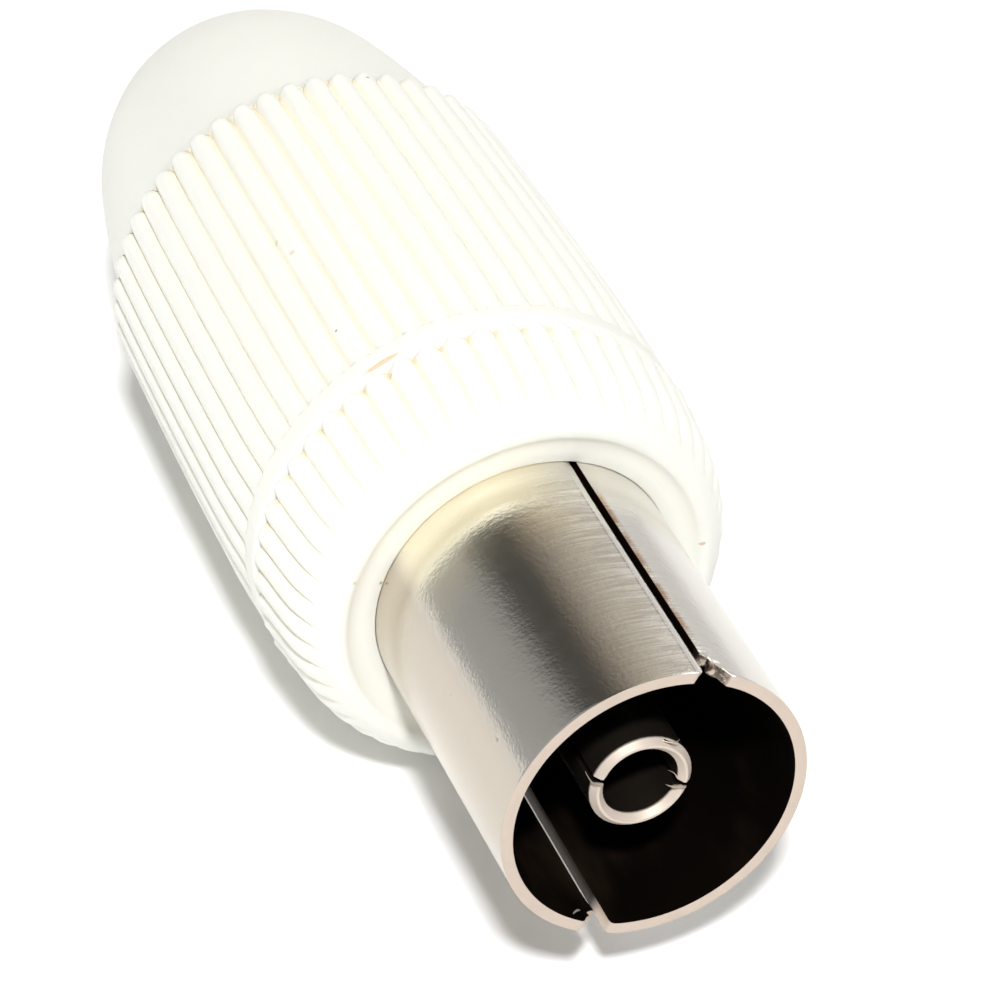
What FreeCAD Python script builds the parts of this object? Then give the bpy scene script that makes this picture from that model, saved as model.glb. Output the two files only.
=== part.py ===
import FreeCAD, Part
import os

import Sketcher

# A line socket for television coaxial cable, with a screw-on ribbed cover. It lies on its side.
# Millimetres. The mouth's rim is at the origin, the plug leaves along -Y and the cable along +Y.
SIZES = {
    # sheet-metal shell, which takes the plug
    "barrel_radius": 5.15,
    "sheet_wall": 0.4,
    "flange_reach": 0.75,
    "slit_half": 0.16,
    "slit_reach": 2.1,
    "slit_corner": 0.45,
    "slit_turn": 19.4,
    # moulded front collar with its threaded spigot
    "collar_face": 11.1,
    "face_inset": 1.5,
    "face_recess": 0.2,
    "recess_slope": 0.35,
    "recess_rim": 0.25,
    "shoulder_length": 1.4,
    "shoulder_radius": 1.9,
    "collar_length": 4.2,
    "spigot_wall": 1.12,
    "spigot_length": 8.0,
    "spigot_chamfer": 0.4,
    "shell_fit": 0.03,
    # grip ribs of the collar and of the cover
    "rib_count": 51,
    "rib_depth": 0.36,
    "rib_half": 0.42,
    "rib_crown_drop": 0.135,
    "rib_crown_half": 0.22,
    "rib_crown_ease": 0.033,
    "rib_root": 0.2,
    "rib_fade": 0.12,
    "trim_room": 0.6,
    # moulded rear cover
    "cover_gap": 0.06,
    "cover_wall": 1.28,
    "band_width": 0.95,
    "band_step": 0.08,
    "band_round": 0.2,
    "rib_length": 15.4,
    "belly_drop": 0.32,
    "rib_end_chamfer": 0.3,
    "dome_step": 0.1,
    "dome_side_length": 6.1,
    "dome_side_drop": 1.12,
    "dome_side_radius": 60.0,
    "dome_nose_length": 4.19,
    "dome_nose_radius": 9.0,
    "dome_end_land": 0.5,
    "thread_fit": 0.06,
    "thread_overrun": 1.2,
    "claw_room": 0.22,
    "cable_hole_radius": 3.3,
    "cable_hole_chamfer": 0.2,
    "throat_length": 1.4,
    # insulator
    "insulator_fit": 0.02,
    "insulator_length": 9.0,
    "insulator_boss_wall": 1.07,
    "insulator_boss_length": 2.0,
    "insulator_dish": 0.8,
    "insulator_hub_wall": 0.87,
    # centre contact with its screw terminal
    "contact_bore": 1.28,
    "contact_wall": 0.45,
    "contact_recess": 1.04,
    "contact_bore_depth": 11.5,
    "contact_slit_half": 0.14,
    "contact_slit_depth": 9.0,
    "contact_chamfer": 0.18,
    "contact_fit": 0.02,
    "terminal_shoulder": 0.57,
    "terminal_fit": 0.03,
    "terminal_length": 6.6,
    "core_hole": 0.7,
    "core_depth": 4.2,
    # core screw
    "screw_radius": 1.0,
    "screw_fit": 0.02,
    "screw_setback": 2.3,
    "screw_bite": 0.2,
    "spot_depth": 0.4,
    "spot_fit": 0.1,
    "head_radius": 1.45,
    "head_height": 0.9,
    "head_slot_half": 0.2,
    "head_slot_depth": 0.45,
    # thrust washer and clamp claw
    "washer_wall": 0.6,
    "washer_fit": 0.06,
    "claw_gap": 0.05,
    "claw_wall": 0.5,
    "claw_ring_length": 3.6,
    "claw_finger_length": 7.4,
    "claw_tip_room": 1.0,
    "claw_tooth_bite": 0.05,
    "claw_tooth_length": 0.55,
    "claw_seat_fit": 0.1,
    "claw_slot_half": 0.55,
    "claw_slot_start": 1.6,
    "claw_fingers": 6,
    "saw_room": 1.0,
}

# Stations along the axis, as sums of named sizes.
SLIT_END = "collar_face + slit_reach"
COLLAR_REAR = "collar_face + collar_length"
SHOULDER = "collar_face + shoulder_length"
SEAT = COLLAR_REAR + " + spigot_length"
FLANGE_REAR = SEAT + " + sheet_wall"
WASHER_REAR = FLANGE_REAR + " + washer_wall"
CLAW_FRONT = WASHER_REAR + " + claw_gap"
CLAW_SHOULDER = CLAW_FRONT + " + claw_ring_length"
CLAW_TIP = CLAW_SHOULDER + " + claw_finger_length"
COVER_FRONT = COLLAR_REAR + " + cover_gap"
RIB_FRONT = COVER_FRONT + " + band_width"
RIB_REAR = RIB_FRONT + " + rib_length"
NOSE = RIB_REAR + " + dome_side_length"
COVER_REAR = NOSE + " + dome_nose_length"
TERMINAL_REAR = FLANGE_REAR + " + terminal_length"
SCREW_STATION = TERMINAL_REAR + " - screw_setback"

# Radii, from the barrel outwards and from the contact's bore outwards.
SHELL_INSIDE = "barrel_radius - sheet_wall"
FLANGE = "barrel_radius + flange_reach"
SPIGOT = "barrel_radius + shell_fit + spigot_wall"
THREAD_BORE = SPIGOT + " + thread_fit"
RIB_FLOOR = THREAD_BORE + " + cover_wall"
RIB_TOP = RIB_FLOOR + " + rib_depth"
BAND = RIB_TOP + " - band_step"
FACE = RIB_TOP + " - face_inset"
DOME_START = RIB_FLOOR + " - belly_drop - dome_step"
CLAW_TIP_RADIUS = "cable_hole_radius + claw_tip_room"
CLAW_TOOTH = "cable_hole_radius - claw_tooth_bite"
CONTACT = "contact_bore + contact_wall"
TERMINAL = CONTACT + " + terminal_shoulder"
BOSS = TERMINAL + " + terminal_fit + insulator_boss_wall"
SPOT_FACE = TERMINAL + " - spot_depth"

doc = FreeCAD.newDocument("tv_coaxial_socket")
sheet = doc.addObject("Spreadsheet::Sheet", "Sizes")
for row, (size_name, size_value) in enumerate(SIZES.items(), start=1):
    sheet.set("A%d" % row, size_name)
    sheet.set("B%d" % row, str(size_value))
    sheet.setAlias("B%d" % row, size_name)
doc.recompute()


def total(words):
    """Adds up the named sizes in words such as 'collar_face + collar_length'."""
    result = 0.0
    sign = 1.0
    for word in words.split():
        if word in ("+", "-"):
            sign = 1.0 if word == "+" else -1.0
        else:
            result += sign * SIZES[word]
            sign = 1.0
    return result


def formula(words):
    """Writes the same sum as an expression on the sheet."""
    return " ".join(word if word in ("+", "-") else "Sizes." + word for word in words.split())


def new_body(label):
    body = doc.addObject("PartDesign::Body", label)
    body.Label = label
    return body


def origin_feature(body, role):
    return next(item for item in body.Origin.OriginFeatures if item.Role == role)


def new_sketch(body, name, plane, offset="", turn=""):
    """Makes a sketch on an origin plane, moved along the plane's normal and turned about +Y."""
    sketch = body.newObject("Sketcher::SketchObject", name)
    sketch.AttachmentSupport = [(origin_feature(body, plane), "")]
    sketch.MapMode = "FlatFace"
    if offset:
        # the normal of the XZ plane points along -Y
        side = "-" if plane == "XZ_Plane" else ""
        sketch.setExpression("AttachmentOffset.Base.z", "%s(%s)" % (side, formula(offset)))
    if turn:
        sketch.AttachmentOffset = FreeCAD.Placement(
            FreeCAD.Vector(), FreeCAD.Rotation(FreeCAD.Vector(0, 1, 0), total(turn)))
        sketch.setExpression("AttachmentOffset.Rotation.Angle", formula(turn))
    return sketch


def pin_point(sketch, geometry, end, words, kind, line):
    """Ties one coordinate of a point to a sum of sizes. A sum that is empty puts it on an axis."""
    if not words:
        sketch.addConstraint(Sketcher.Constraint("PointOnObject", geometry, end, line))
        return
    value = total(words)
    if value >= 0:
        index = sketch.addConstraint(Sketcher.Constraint(kind, -1, 1, geometry, end, value))
        sketch.setExpression("Constraints[%d]" % index, formula(words))
    else:
        index = sketch.addConstraint(Sketcher.Constraint(kind, geometry, end, -1, 1, -value))
        sketch.setExpression("Constraints[%d]" % index, "-(%s)" % formula(words))


def arc_centre(start, end, radius, side):
    """Finds the centre of an arc of this radius that lies on the given side of its chord."""
    chord = end - start
    middle = (start + end) * 0.5
    rise = max(radius ** 2 - (chord.Length / 2) ** 2, 0.0) ** 0.5
    across = FreeCAD.Vector(-chord.y, chord.x, 0).normalize()
    return middle + across * (rise * side)


def add_outline(sketch, points, arcs=None):
    """Draws a closed outline. Each point is (across, along) in words.

    arcs maps the index of a stretch to (radius words, side): side 1 puts the arc's centre to the
    left of the way from its first point to its second, and -1 to the right.
    """
    arcs = arcs or {}
    places = [FreeCAD.Vector(total(across), total(along), 0) for across, along in points]
    count = len(places)
    ends = []
    for index, start in enumerate(places):
        end = places[(index + 1) % count]
        if index not in arcs:
            sketch.addGeometry(Part.LineSegment(start, end), False)
            ends.append((1, 2))
            continue
        radius, side = total(arcs[index][0]), arcs[index][1]
        centre = arc_centre(start, end, radius, side)
        circle = Part.Circle(centre, FreeCAD.Vector(0, 0, 1), radius)
        first, last = (start, end) if side > 0 else (end, start)
        arc = Part.ArcOfCircle(circle, circle.parameter(first), circle.parameter(last))
        number = sketch.addGeometry(arc, False)
        ends.append((1, 2) if side > 0 else (2, 1))
        limit = sketch.addConstraint(Sketcher.Constraint("Radius", number, radius))
        sketch.setExpression("Constraints[%d]" % limit, formula(arcs[index][0]))
    for index, (across, along) in enumerate(points):
        before = (index - 1) % count
        sketch.addConstraint(
            Sketcher.Constraint("Coincident", before, ends[before][1], index, ends[index][0]))
        pin_point(sketch, index, ends[index][0], across, "DistanceX", -2)
        pin_point(sketch, index, ends[index][0], along, "DistanceY", -1)


def turned(body, name, points, arcs=None, cut=False):
    """Turns an outline about the axis. Each point is (radius, station)."""
    sketch = new_sketch(body, name + "_outline", "XY_Plane")
    add_outline(sketch, points, arcs)
    kind = "PartDesign::Groove" if cut else "PartDesign::Revolution"
    feature = body.newObject(kind, name)
    feature.Profile = sketch
    feature.ReferenceAxis = (sketch, ["V_Axis"])
    feature.Angle = 360
    return feature


def slot_through(body, name, points, arcs, turn):
    """Cuts an outline on a plane through the axis right across the body, both ways."""
    sketch = new_sketch(body, name + "_outline", "XY_Plane", turn=turn)
    add_outline(sketch, points, arcs)
    feature = body.newObject("PartDesign::Pocket", name)
    feature.Profile = sketch
    feature.Type = "ThroughAll"
    feature.Midplane = True
    return feature


def around(body, name, feature, count):
    """Repeats a feature evenly around the axis."""
    pattern = body.newObject("PartDesign::PolarPattern", name)
    pattern.Originals = [feature]
    pattern.Axis = (origin_feature(body, "Y_Axis"), [""])
    pattern.Angle = 360
    pattern.setExpression("Occurrences", "Sizes." + count)
    body.Tip = pattern
    return pattern


def rib_section(body, station):
    """Draws one grip rib across the axis: sides that stand in the wall and a crown of four flats."""
    sketch = new_sketch(body, "rib_outline", "XZ_Plane", offset=station)
    half = [
        ("rib_half", RIB_FLOOR + " - rib_root"),
        ("rib_half", RIB_TOP + " - rib_crown_drop"),
        ("rib_crown_half", RIB_TOP + " - rib_crown_ease"),
    ]
    mirrored = [("- " + across, up) for across, up in half]
    add_outline(sketch, mirrored + [("", RIB_TOP)] + half[::-1])
    return sketch


def leaning_ribs(body, station, length, lean):
    """Pads one rib from a station along a leaning line, and repeats it all round."""
    rib = body.newObject("PartDesign::Pad", "rib")
    rib.Profile = rib_section(body, station)
    rib.AlongSketchNormal = True
    rib.UseCustomVector = True
    rib.setExpression("Length", "abs(%s)" % formula(length))
    rib.setExpression("Direction.y", formula(length))
    rib.setExpression("Direction.z", formula(lean))
    around(body, "ribs", rib, "rib_count")


def make_outer_shell():
    """Sheet tube with a flange behind the collar's spigot and two spring slits from the mouth."""
    body = new_body("outer_shell")
    turned(body, "tube", [
        (SHELL_INSIDE, ""),
        ("barrel_radius", ""),
        ("barrel_radius", SEAT),
        (FLANGE, SEAT),
        (FLANGE, FLANGE_REAR),
        (SHELL_INSIDE, FLANGE_REAR),
    ])
    slot_through(body, "slits", [
        ("- slit_half - slit_corner", "- saw_room"),
        ("slit_half + slit_corner", "- saw_room"),
        ("slit_half + slit_corner", ""),
        ("slit_half", "slit_corner"),
        ("slit_half", SLIT_END),
        ("- slit_half", SLIT_END),
        ("- slit_half", "slit_corner"),
        ("- slit_half - slit_corner", ""),
    ], {2: ("slit_corner", -1), 6: ("slit_corner", -1)}, "slit_turn")
    return body


def make_front_collar():
    """Ribbed collar with a dished face round the barrel, and a spigot that the cover screws on."""
    body = new_body("front_collar")
    bore = "barrel_radius + shell_fit"
    turned(body, "collar", [
        (bore, "collar_face + face_recess"),
        (FACE + " - recess_rim - recess_slope", "collar_face + face_recess"),
        (FACE + " - recess_rim", "collar_face"),
        (FACE, "collar_face"),
        (RIB_FLOOR, SHOULDER),
        (RIB_FLOOR, COLLAR_REAR),
        (SPIGOT, COLLAR_REAR),
        (SPIGOT, SEAT + " - spigot_chamfer"),
        (SPIGOT + " - spigot_chamfer", SEAT),
        (bore, SEAT),
    ], {3: ("shoulder_radius", 1)})
    leaning_ribs(body, COLLAR_REAR, "shoulder_length - collar_length", "- rib_depth - rib_fade")
    return body


def make_rear_cover():
    """Ribbed cover: threaded bore, cone for the claw, domed end and the cable's hole."""
    body = new_body("rear_cover")
    chamber = FLANGE + " + claw_room"
    turned(body, "cover", [
        (THREAD_BORE, COVER_FRONT),
        (BAND + " - band_round", COVER_FRONT),
        (BAND, COVER_FRONT + " + band_round"),
        (BAND, RIB_FRONT),
        (RIB_FLOOR, RIB_FRONT),
        (RIB_FLOOR + " - belly_drop", RIB_REAR),
        (DOME_START, RIB_REAR),
        (DOME_START + " - dome_side_drop", NOSE),
        ("cable_hole_radius + dome_end_land", COVER_REAR),
        ("cable_hole_radius + cable_hole_chamfer", COVER_REAR),
        ("cable_hole_radius", COVER_REAR + " - cable_hole_chamfer"),
        ("cable_hole_radius", CLAW_TIP + " + claw_room + throat_length"),
        (CLAW_TIP_RADIUS + " + claw_seat_fit", CLAW_TIP + " + claw_room"),
        (FLANGE + " + claw_seat_fit", CLAW_SHOULDER),
        (chamber, CLAW_SHOULDER),
        (chamber, SEAT + " + thread_overrun"),
        (THREAD_BORE, SEAT + " + thread_overrun"),
    ], {6: ("dome_side_radius", 1), 7: ("dome_nose_radius", 1)})
    leaning_ribs(body, RIB_FRONT, "rib_length", "- belly_drop")
    rib_end = RIB_TOP + " - belly_drop"
    turned(body, "rib_ends", [
        (rib_end + " - rib_end_chamfer", RIB_REAR),
        (rib_end, RIB_REAR + " - rib_end_chamfer"),
        (rib_end + " + trim_room", RIB_REAR + " - rib_end_chamfer - trim_room"),
        (rib_end + " + trim_room", RIB_REAR + " + trim_room"),
        (rib_end + " - rib_end_chamfer", RIB_REAR + " + trim_room"),
    ], cut=True)
    return body


def make_insulator():
    """Moulded plug inside the shell that holds the centre contact, with a boss behind."""
    body = new_body("insulator")
    outside = SHELL_INSIDE + " - insulator_fit"
    hole = CONTACT + " + contact_fit"
    hub = CONTACT + " + insulator_hub_wall"
    front = FLANGE_REAR + " - insulator_length"
    turned(body, "plug", [
        (hole, front),
        (hub, front),
        (hub, front + " + insulator_dish"),
        (outside, front + " + insulator_dish"),
        (outside, FLANGE_REAR),
        (BOSS, FLANGE_REAR),
        (BOSS, FLANGE_REAR + " + insulator_boss_length"),
        (TERMINAL + " + terminal_fit", FLANGE_REAR + " + insulator_boss_length"),
        (TERMINAL + " + terminal_fit", FLANGE_REAR),
        (hole, FLANGE_REAR),
    ])
    return body


def make_centre_contact():
    """Split tube that takes the plug's pin, in one piece with the screw terminal behind."""
    body = new_body("centre_contact")
    mouth = "contact_recess"
    bore_end = "contact_recess + contact_bore_depth"
    turned(body, "contact", [
        ("contact_bore", mouth + " + contact_chamfer"),
        ("contact_bore + contact_chamfer", mouth),
        (CONTACT + " - contact_chamfer", mouth),
        (CONTACT, mouth + " + contact_chamfer"),
        (CONTACT, FLANGE_REAR),
        (TERMINAL, FLANGE_REAR),
        (TERMINAL, TERMINAL_REAR),
        ("core_hole", TERMINAL_REAR),
        ("core_hole", TERMINAL_REAR + " - core_depth"),
        ("", TERMINAL_REAR + " - core_depth"),
        ("", bore_end),
        ("contact_bore", bore_end),
    ])
    sketch = new_sketch(body, "slit_outline", "YZ_Plane")
    add_outline(sketch, [
        ("contact_recess - saw_room", "- contact_slit_half"),
        ("contact_recess + contact_slit_depth", "- contact_slit_half"),
        ("contact_recess + contact_slit_depth", "contact_slit_half"),
        ("contact_recess - saw_room", "contact_slit_half"),
    ])
    sketch.AttachmentOffset = FreeCAD.Placement(
        FreeCAD.Vector(), FreeCAD.Rotation(FreeCAD.Vector(1, 0, 0), total("slit_turn")))
    sketch.setExpression("AttachmentOffset.Rotation.Angle", "Sizes.slit_turn")
    slit = body.newObject("PartDesign::Pocket", "slits")
    slit.Profile = sketch
    slit.Type = "ThroughAll"
    slit.Midplane = True
    hole = new_sketch(body, "tapped_hole_outline", "XY_Plane")
    add_circle(hole, SCREW_STATION, "screw_radius")
    tapped = body.newObject("PartDesign::Pocket", "tapped_hole")
    tapped.Profile = hole
    tapped.Type = "ThroughAll"
    tapped.Reversed = True
    face = new_sketch(body, "spot_face_outline", "XY_Plane", offset=SPOT_FACE)
    add_circle(face, SCREW_STATION, "head_radius + spot_fit")
    spot = body.newObject("PartDesign::Pocket", "spot_face")
    spot.Profile = face
    spot.Type = "ThroughAll"
    spot.Reversed = True
    return body


def add_circle(sketch, station, radius):
    """Draws a circle whose centre lies on the axis at a station."""
    centre = FreeCAD.Vector(0, total(station), 0)
    sketch.addGeometry(Part.Circle(centre, FreeCAD.Vector(0, 0, 1), total(radius)), False)
    pin_point(sketch, 0, 3, "", "DistanceX", -2)
    pin_point(sketch, 0, 3, station, "DistanceY", -1)
    limit = sketch.addConstraint(Sketcher.Constraint("Radius", 0, total(radius)))
    sketch.setExpression("Constraints[%d]" % limit, formula(radius))


def pad_circle(body, name, station, radius, bottom, height):
    """Stands a round pad on a plane above the axis."""
    sketch = new_sketch(body, name + "_outline", "XY_Plane", offset=bottom)
    add_circle(sketch, station, radius)
    pad = body.newObject("PartDesign::Pad", name)
    pad.Profile = sketch
    pad.setExpression("Length", formula(height))
    return pad


def make_core_screw():
    """Slotted screw that holds the cable's core in the terminal."""
    body = new_body("core_screw")
    shank = "screw_radius - screw_fit"
    tip = "core_hole - screw_bite"
    pad_circle(body, "shank", SCREW_STATION, shank, tip, SPOT_FACE + " - core_hole + screw_bite")
    pad_circle(body, "head", SCREW_STATION, "head_radius", SPOT_FACE, "head_height")
    slot = new_sketch(body, "slot_outline", "XY_Plane", offset=SPOT_FACE + " + head_height")
    add_outline(slot, [
        ("- head_radius - saw_room", SCREW_STATION + " - head_slot_half"),
        ("head_radius + saw_room", SCREW_STATION + " - head_slot_half"),
        ("head_radius + saw_room", SCREW_STATION + " + head_slot_half"),
        ("- head_radius - saw_room", SCREW_STATION + " + head_slot_half"),
    ])
    cut = body.newObject("PartDesign::Pocket", "slot")
    cut.Profile = slot
    cut.setExpression("Length", "Sizes.head_slot_depth")
    return body


def make_thrust_washer():
    """Flat ring that presses the shell's flange on the spigot."""
    body = new_body("thrust_washer")
    inside = BOSS + " + washer_fit"
    turned(body, "ring", [
        (inside, FLANGE_REAR),
        (FLANGE, FLANGE_REAR),
        (FLANGE, WASHER_REAR),
        (inside, WASHER_REAR),
    ])
    return body


def make_clamp_claw():
    """Ring with fingers that the cover's cone closes on the cable's braid."""
    body = new_body("clamp_claw")
    turned(body, "claw", [
        (FLANGE + " - claw_wall", CLAW_FRONT),
        (FLANGE, CLAW_FRONT),
        (FLANGE, CLAW_SHOULDER),
        (CLAW_TIP_RADIUS, CLAW_TIP),
        (CLAW_TOOTH, CLAW_TIP),
        (CLAW_TOOTH, CLAW_TIP + " - claw_tooth_length"),
        (CLAW_TIP_RADIUS + " - claw_wall", CLAW_TIP + " - claw_tooth_length"),
        (FLANGE + " - claw_wall", CLAW_SHOULDER),
    ])
    sketch = new_sketch(body, "gap_outline", "XY_Plane")
    add_outline(sketch, [
        ("- claw_slot_half", CLAW_FRONT + " + claw_slot_start"),
        ("claw_slot_half", CLAW_FRONT + " + claw_slot_start"),
        ("claw_slot_half", CLAW_TIP + " + saw_room"),
        ("- claw_slot_half", CLAW_TIP + " + saw_room"),
    ])
    gap = body.newObject("PartDesign::Pocket", "gap")
    gap.Profile = sketch
    gap.Type = "ThroughAll"
    gap.Reversed = True
    around(body, "gaps", gap, "claw_fingers")
    return body


pieces = [
    make_outer_shell(),
    make_front_collar(),
    make_rear_cover(),
    make_insulator(),
    make_centre_contact(),
    make_core_screw(),
    make_thrust_washer(),
    make_clamp_claw(),
]
doc.recompute()

for item in doc.Objects:
    if "Invalid" in item.State or "Error" in item.State:
        raise RuntimeError("%s failed: %s" % (item.Label, item.State))
for piece in pieces:
    if piece.Shape.isNull() or not piece.Shape.isValid() or len(piece.Shape.Solids) != 1:
        raise RuntimeError("%s has no valid solid" % piece.Label)

os.makedirs("parts", exist_ok=True)
for piece in pieces:
    piece.Shape.exportStep("parts/%s.step" % piece.Label)
    box = piece.Shape.BoundBox
    print("%s volume %.2f, y %.2f to %.2f, z %.2f to %.2f" % (
        piece.Label, piece.Shape.Volume, box.YMin, box.YMax, box.ZMin, box.ZMax))
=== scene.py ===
"""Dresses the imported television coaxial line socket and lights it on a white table.

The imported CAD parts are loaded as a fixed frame. The two white mouldings and the slit barrel get
finer meshes of their own, the small inner parts keep their CAD shapes, and every part gets a
finish made of nodes. Sizes are in millimetres here and become metres as the meshes are made.
"""

import logging
import math
from dataclasses import dataclass, field
from enum import Enum
from typing import Callable, Iterable, Sequence, Union

import bmesh
import bpy
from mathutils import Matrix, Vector

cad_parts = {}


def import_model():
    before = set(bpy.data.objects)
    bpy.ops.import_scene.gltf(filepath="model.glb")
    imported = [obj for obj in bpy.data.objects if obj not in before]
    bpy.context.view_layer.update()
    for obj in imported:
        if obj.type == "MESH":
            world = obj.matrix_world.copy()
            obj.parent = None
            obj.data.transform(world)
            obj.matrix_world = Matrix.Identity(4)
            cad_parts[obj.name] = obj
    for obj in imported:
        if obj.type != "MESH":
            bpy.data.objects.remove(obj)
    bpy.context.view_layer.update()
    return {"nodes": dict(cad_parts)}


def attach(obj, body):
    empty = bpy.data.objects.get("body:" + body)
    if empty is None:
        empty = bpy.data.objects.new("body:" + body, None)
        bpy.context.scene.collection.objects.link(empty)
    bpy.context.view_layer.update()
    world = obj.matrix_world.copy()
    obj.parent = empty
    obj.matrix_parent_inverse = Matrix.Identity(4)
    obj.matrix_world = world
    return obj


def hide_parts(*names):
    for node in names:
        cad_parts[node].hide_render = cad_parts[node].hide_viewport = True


LOG = logging.getLogger("socket")
MM = 0.001
TURN = 2.0 * math.pi
DEGREES = 360.0 / TURN
MERGE_WITHIN = 1e-7
THREAD_PITCH = 1.5
THREAD_START = 15.9
MOULDING_SHARP = 50.0
AXIS = Vector((0.0, 1.0, 0.0))
Profile = Sequence[tuple[float, float]]
Number = Union[float, int]
Colour = tuple[float, float, float, float]
BLACK: Colour = (0.0, 0.0, 0.0, 1.0)
WHITE: Colour = (1.0, 1.0, 1.0, 1.0)


class Body(Enum):
    """The bodies that the joints move."""

    FRONT = "front_body"
    CLAW = "claw"
    COVER = "cover"


class Slot(Enum):
    """The material slots of the record."""

    WHITE = "white_plastic"
    NICKEL = "nickel_sheet"
    CONTACT = "contact_plating"
    INSULATOR = "insulator_plastic"
    SCREW = "screw_steel"
    CLAW = "claw_plating"


def smooth_step(low: float, high: float, value: float) -> float:
    """Eases from 0 at low to 1 at high.

    Args:
        low: the value where the ease starts.
        high: the value where it ends.
        value: the value to place between them.

    Returns:
        A number from 0 to 1.
    """
    share = min(max((value - low) / (high - low), 0.0), 1.0)
    return share * share * (3.0 - 2.0 * share)


def azimuth(point: Vector) -> float:
    """Angle of a point about the long axis, from the top towards the right."""
    return math.atan2(point.x, point.z)


def place_on_ring(vert: bmesh.types.BMVert, angle: float, radius: float, along: float) -> None:
    """Puts a vertex at an angle, a radius and a station, the last two in millimetres."""
    vert.co = Vector((math.sin(angle) * radius, along, math.cos(angle) * radius)) * MM


def draw_profile(mesh: bmesh.types.BMesh, profile: Profile, closed: bool) -> list:
    """Draws a profile as a chain of edges in the plane through the axis and +X.

    Args:
        mesh: the mesh to draw in.
        profile: points as radius and station in millimetres.
        closed: whether the last point joins the first.

    Returns:
        The new vertices and edges.
    """
    verts = [mesh.verts.new((radius * MM, along * MM, 0.0)) for radius, along in profile]
    pairs = list(zip(verts, verts[1:]))
    if closed:
        pairs.append((verts[-1], verts[0]))
    return verts + [mesh.edges.new(pair) for pair in pairs]


def turn(mesh: bmesh.types.BMesh, profile: Profile, steps: int, closed: bool = True) -> None:
    """Turns a profile once round the long axis.

    Args:
        mesh: the mesh to add to.
        profile: points as radius and station in millimetres.
        steps: columns in the full turn.
        closed: whether the profile is a closed loop.
    """
    geometry = draw_profile(mesh, profile, closed)
    bmesh.ops.spin(
        mesh, geom=geometry, cent=(0, 0, 0), axis=AXIS, angle=TURN, steps=steps, use_merge=True)
    bmesh.ops.remove_doubles(mesh, verts=mesh.verts, dist=MERGE_WITHIN)


def round_corner(
        start: tuple[float, float], corner: tuple[float, float], end: tuple[float, float],
        steps: int) -> list[tuple[float, float]]:
    """Eases a corner of a profile with a curve that leaves start towards the corner.

    Args:
        start: where the curve begins.
        corner: the corner that it cuts.
        end: where it ends.
        steps: stretches in the curve.

    Returns:
        The points from start to end, both included.
    """
    points = []
    for index in range(steps + 1):
        share = index / steps
        points.append(tuple(
            a * (1 - share) ** 2 + 2 * b * share * (1 - share) + c * share ** 2
            for a, b, c in zip(start, corner, end)))
    return points


def finish_mesh(
        mesh: bmesh.types.BMesh, name: str, sharp: float = 38.0,
        recalculate: bool = True) -> bpy.types.Object:
    """Turns a bmesh into a smooth-shaded object with its faces outwards.

    Args:
        mesh: the finished mesh, which is freed.
        name: the piece's name.
        sharp: edges that turn more than this many degrees stay crisp.
        recalculate: whether the faces are turned outwards first.

    Returns:
        The new object, at the origin.
    """
    if recalculate:
        bmesh.ops.recalc_face_normals(mesh, faces=mesh.faces)
    data = bpy.data.meshes.new(name)
    mesh.to_mesh(data)
    mesh.free()
    data.polygons.foreach_set("use_smooth", [True] * len(data.polygons))
    data.set_sharp_from_angle(angle=math.radians(sharp))
    piece = bpy.data.objects.new(name, data)
    bpy.context.scene.collection.objects.link(piece)
    return piece


def operator(operation: str, swapped: bool = False) -> Callable[..., "Socket"]:
    """Makes one of Socket's operators.

    Args:
        operation: the Math node's operation.
        swapped: whether the other value comes first.

    Returns:
        A method that adds the node.
    """
    def apply(self: "Socket", *others: "Socket | Number") -> "Socket":
        """Adds the Math node."""
        values = (*others, self) if swapped else (self, *others)
        return self.tree.node("ShaderNodeMath", {"operation": operation}, *values)

    return apply


class Socket:
    """A node's output with the operators of ordinary maths."""

    __add__ = operator("ADD")
    __radd__ = operator("ADD", swapped=True)
    __sub__ = operator("SUBTRACT")
    __rsub__ = operator("SUBTRACT", swapped=True)
    __mul__ = operator("MULTIPLY")
    __rmul__ = operator("MULTIPLY", swapped=True)
    __truediv__ = operator("DIVIDE")
    __pow__ = operator("POWER")
    __abs__ = operator("ABSOLUTE")
    fraction = operator("FRACT")
    angle_to = operator("ARCTAN2")
    least = operator("MINIMUM")

    def __init__(self, tree: "Tree", output: bpy.types.NodeSocket) -> None:
        """Keeps the tree and the output that the operators work on."""
        self.tree = tree
        self.output = output

    def ease(self, low: Number, high: Number) -> "Socket":
        """Eases from 0 where this is low to 1 where it is high."""
        return self.tree.node(
            "ShaderNodeMapRange", {"interpolation_type": "SMOOTHSTEP"},
            **{"Value": self, "From Min": low, "From Max": high})

    def between(self, low: Number, high: Number, end: Number, gone: Number) -> "Socket":
        """Eases up from low to high, and down again from end to gone."""
        return self.ease(low, high) * (1.0 - self.ease(end, gone))


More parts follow.
